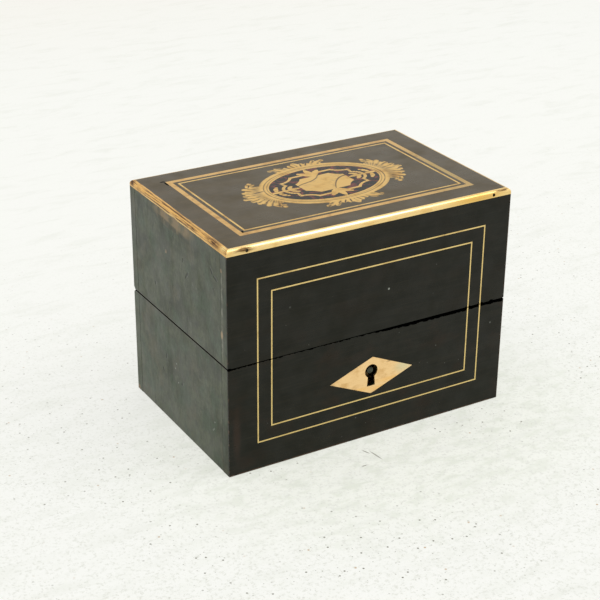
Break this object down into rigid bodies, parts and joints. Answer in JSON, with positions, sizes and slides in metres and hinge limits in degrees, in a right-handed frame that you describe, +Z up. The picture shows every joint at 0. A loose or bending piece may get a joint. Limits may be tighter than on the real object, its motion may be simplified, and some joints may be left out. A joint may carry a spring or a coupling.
{
  "type": "perfume casket",
  "caption": "Small lined casket with a fall-back lid, box lock, hinges, brass stringing and cartouche inlay, holding square stoppered glass bottles in a divided base",
  "frame": {"origin": "middle of the underside, on the table", "axes": "+X to the right as seen from the keyhole side, +Y to the back, +Z up; the lid is shut"},
  "size_m": [0.13, 0.084, 0.0965],
  "materials": {
    "carcase_wood": "blackened wood, satin, worn grey-green on the ends",
    "ebony": "ebony veneer, French polished",
    "inlay_brass": "engraved sheet and drawn brass, worn to a soft shine",
    "pale_brass": "pale pinkish sheet brass, satin",
    "tortoiseshell": "dark shell over red, polished",
    "fitting_brass": "stamped brass, dull",
    "iron": "filed iron, darkened",
    "silk": "crimson silk",
    "divider_wood": "thin wood covered in crimson paper",
    "bottle_glass": "clear cut glass",
    "stopper_glass": "clear cut and ground glass"
  },
  "bodies": {
    "base": {"base_front_board": "carcase_wood", "base_back_board": "carcase_wood", "base_left_board": "carcase_wood", "base_right_board": "carcase_wood", "base_bottom_board": "carcase_wood", "base_front_veneer": "ebony", "base_strings": "inlay_brass", "escutcheon": "pale_brass", "lock_plate": "fitting_brass", "lock_case": "fitting_brass", "lock_screws": "fitting_brass", "drill_pin": "iron", "bolt_spring": "iron", "hinge_base_leaves": "fitting_brass", "hinge_base_screws": "fitting_brass", "hinge_pins": "iron", "floor_lining": "silk", "base_wall_lining": "silk", "divider_long": "divider_wood", "divider_crosses": "divider_wood"},
    "lid": {"lid_front_board": "carcase_wood", "lid_back_board": "carcase_wood", "lid_left_board": "carcase_wood", "lid_right_board": "carcase_wood", "lid_top_board": "carcase_wood", "lid_front_veneer": "ebony", "lid_strings": "inlay_brass", "top_veneer": "ebony", "top_band": "inlay_brass", "top_line": "inlay_brass", "inlay_oval_frame": "inlay_brass", "inlay_ribbon": "inlay_brass", "inlay_plaque": "inlay_brass", "shell_ground": "tortoiseshell", "moulding_front": "inlay_brass", "moulding_back": "inlay_brass", "moulding_left": "inlay_brass", "moulding_right": "inlay_brass", "moulding_pins": "iron", "striker_plate": "fitting_brass", "striker_screws": "fitting_brass", "hinge_lid_leaves": "fitting_brass", "hinge_lid_screws": "fitting_brass", "lid_pad": "silk", "lid_wall_lining": "silk"},
    "bolt": {"lock_bolt": "iron"},
    "bottle_front_left": {"bottle_front_left": "bottle_glass"},
    "stopper_front_left": {"stopper_front_left": "stopper_glass"},
    "bottle_front_middle": {"bottle_front_middle": "bottle_glass"},
    "stopper_front_middle": {"stopper_front_middle": "stopper_glass"},
    "bottle_front_right": {"bottle_front_right": "bottle_glass"},
    "stopper_front_right": {"stopper_front_right": "stopper_glass"},
    "bottle_back_left": {"bottle_back_left": "bottle_glass"},
    "stopper_back_left": {"stopper_back_left": "stopper_glass"},
    "bottle_back_middle": {"bottle_back_middle": "bottle_glass"},
    "stopper_back_middle": {"stopper_back_middle": "stopper_glass"},
    "bottle_back_right": {"bottle_back_right": "bottle_glass"},
    "stopper_back_right": {"stopper_back_right": "stopper_glass"}
  },
  "joints": [
    {"name": "lid_hinge", "type": "hinge", "parent": "base", "child": "lid", "pos_m": [0, 0.0408, 0.0474], "axis": [-1, 0, 0], "range_deg": [0, 95]},
    {"name": "bolt_slide", "type": "slide", "parent": "base", "child": "bolt", "axis": [1, 0, 0], "range_m": [0, 0.0015]},
    {"name": "bottle_lift_front_left", "type": "slide", "parent": "base", "child": "bottle_front_left", "axis": [0, 0, 1], "range_m": [0, 0.006]},
    {"name": "stopper_lift_front_left", "type": "slide", "parent": "bottle_front_left", "child": "stopper_front_left", "axis": [0, 0, 1], "range_m": [0, 0.005]},
    {"name": "bottle_lift_front_middle", "type": "slide", "parent": "base", "child": "bottle_front_middle", "axis": [0, 0, 1], "range_m": [0, 0.006]},
    {"name": "stopper_lift_front_middle", "type": "slide", "parent": "bottle_front_middle", "child": "stopper_front_middle", "axis": [0, 0, 1], "range_m": [0, 0.005]},
    {"name": "bottle_lift_front_right", "type": "slide", "parent": "base", "child": "bottle_front_right", "axis": [0, 0, 1], "range_m": [0, 0.006]},
    {"name": "stopper_lift_front_right", "type": "slide", "parent": "bottle_front_right", "child": "stopper_front_right", "axis": [0, 0, 1], "range_m": [0, 0.005]},
    {"name": "bottle_lift_back_left", "type": "slide", "parent": "base", "child": "bottle_back_left", "axis": [0, 0, 1], "range_m": [0, 0.006]},
    {"name": "stopper_lift_back_left", "type": "slide", "parent": "bottle_back_left", "child": "stopper_back_left", "axis": [0, 0, 1], "range_m": [0, 0.005]},
    {"name": "bottle_lift_back_middle", "type": "slide", "parent": "base", "child": "bottle_back_middle", "axis": [0, 0, 1], "range_m": [0, 0.006]},
    {"name": "stopper_lift_back_middle", "type": "slide", "parent": "bottle_back_middle", "child": "stopper_back_middle", "axis": [0, 0, 1], "range_m": [0, 0.005]},
    {"name": "bottle_lift_back_right", "type": "slide", "parent": "base", "child": "bottle_back_right", "axis": [0, 0, 1], "range_m": [0, 0.006]},
    {"name": "stopper_lift_back_right", "type": "slide", "parent": "bottle_back_right", "child": "stopper_back_right", "axis": [0, 0, 1], "range_m": [0, 0.005]}
  ]
}
